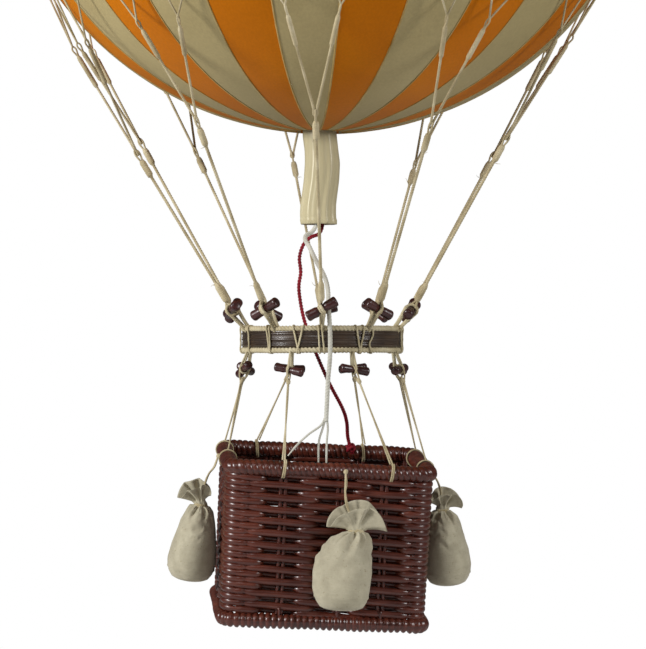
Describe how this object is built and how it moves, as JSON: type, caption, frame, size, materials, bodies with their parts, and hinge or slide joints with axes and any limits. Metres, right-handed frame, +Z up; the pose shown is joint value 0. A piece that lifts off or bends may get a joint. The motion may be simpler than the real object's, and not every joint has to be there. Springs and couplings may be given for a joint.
{
  "type": "model gas balloon with basket",
  "caption": "Hanging model of a historic balloon: striped round envelope, roped load hoop with toggles, wicker basket and swinging sandbags.",
  "frame": {"origin": "where a hook bears inside the hanging loop on the crown", "axes": "+Z up, +X to the right of the front, +Y to the back"},
  "size_m": [0.3198, 0.3198, 0.57],
  "materials": {
    "striped_silk": "orange and cream stripes, satin sheen",
    "cream_silk": "satin, lacquered",
    "crown_wood": "varnished",
    "brass": "satin",
    "hoop_cane": "waxed",
    "natural_rope": "matt twisted cord",
    "toggle_wood": "varnished",
    "floor_wood": "varnished",
    "wicker": "glossy stain",
    "linen": "unbleached plain weave",
    "white_rope": "matt laid rope",
    "red_rope": "matt braid"
  },
  "bodies": {
    "balloon": {"basket_floor": "floor_wood", "basket_foot": "wicker", "basket_line_01": "natural_rope", "basket_line_02": "natural_rope", "basket_line_03": "natural_rope", "basket_line_04": "natural_rope", "basket_line_05": "natural_rope", "basket_line_06": "natural_rope", "basket_line_07": "natural_rope", "basket_line_08": "natural_rope", "basket_rim": "wicker", "basket_wall": "wicker", "crown_cap": "crown_wood", "envelope": "striped_silk", "hanging_loop": "brass", "hoop_band": "hoop_cane", "hoop_rope_lower": "natural_rope", "hoop_rope_upper": "natural_rope", "lower_toggle_01": "toggle_wood", "lower_toggle_02": "toggle_wood", "lower_toggle_03": "toggle_wood", "lower_toggle_04": "toggle_wood", "lower_toggle_05": "toggle_wood", "lower_toggle_06": "toggle_wood", "lower_toggle_07": "toggle_wood", "lower_toggle_08": "toggle_wood", "red_rope": "red_rope", "stay_01": "natural_rope", "stay_02": "natural_rope", "stay_03": "natural_rope", "stay_04": "natural_rope", "stay_05": "natural_rope", "stay_06": "natural_rope", "stay_07": "natural_rope", "stay_08": "natural_rope", "stay_09": "natural_rope", "stay_10": "natural_rope", "throat": "cream_silk", "upper_toggle_01": "toggle_wood", "upper_toggle_02": "toggle_wood", "upper_toggle_03": "toggle_wood", "upper_toggle_04": "toggle_wood", "upper_toggle_05": "toggle_wood", "upper_toggle_06": "toggle_wood", "upper_toggle_07": "toggle_wood", "upper_toggle_08": "toggle_wood", "upper_toggle_09": "toggle_wood", "upper_toggle_10": "toggle_wood", "white_rope": "white_rope"},
    "front_sandbag": {"sandbag_front": "linen", "bag_string_front": "natural_rope"},
    "right_sandbag": {"sandbag_right": "linen", "bag_string_right": "natural_rope"},
    "back_sandbag": {"sandbag_back": "linen", "bag_string_back": "natural_rope"},
    "left_sandbag": {"sandbag_left": "linen", "bag_string_left": "natural_rope"}
  },
  "joints": [
    {"name": "front_sandbag_swing", "type": "hinge", "parent": "balloon", "child": "front_sandbag", "pos_m": [0.00922, -0.04351, -0.49211], "axis": [-0.9955, -0.0834, 0.0449], "range_deg": [0, 60]},
    {"name": "right_sandbag_swing", "type": "hinge", "parent": "balloon", "child": "right_sandbag", "pos_m": [0.0503, 0.00294, -0.49065], "axis": [0.0796, -0.9936, -0.0807], "range_deg": [0, 60]},
    {"name": "back_sandbag_swing", "type": "hinge", "parent": "balloon", "child": "back_sandbag", "pos_m": [-0.01206, 0.04072, -0.48452], "axis": [0.9955, 0.0834, -0.0449], "range_deg": [0, 60]},
    {"name": "left_sandbag_swing", "type": "hinge", "parent": "balloon", "child": "left_sandbag", "pos_m": [-0.05148, -0.00759, -0.48622], "axis": [-0.0796, 0.9936, 0.0807], "range_deg": [0, 60]}
  ]
}
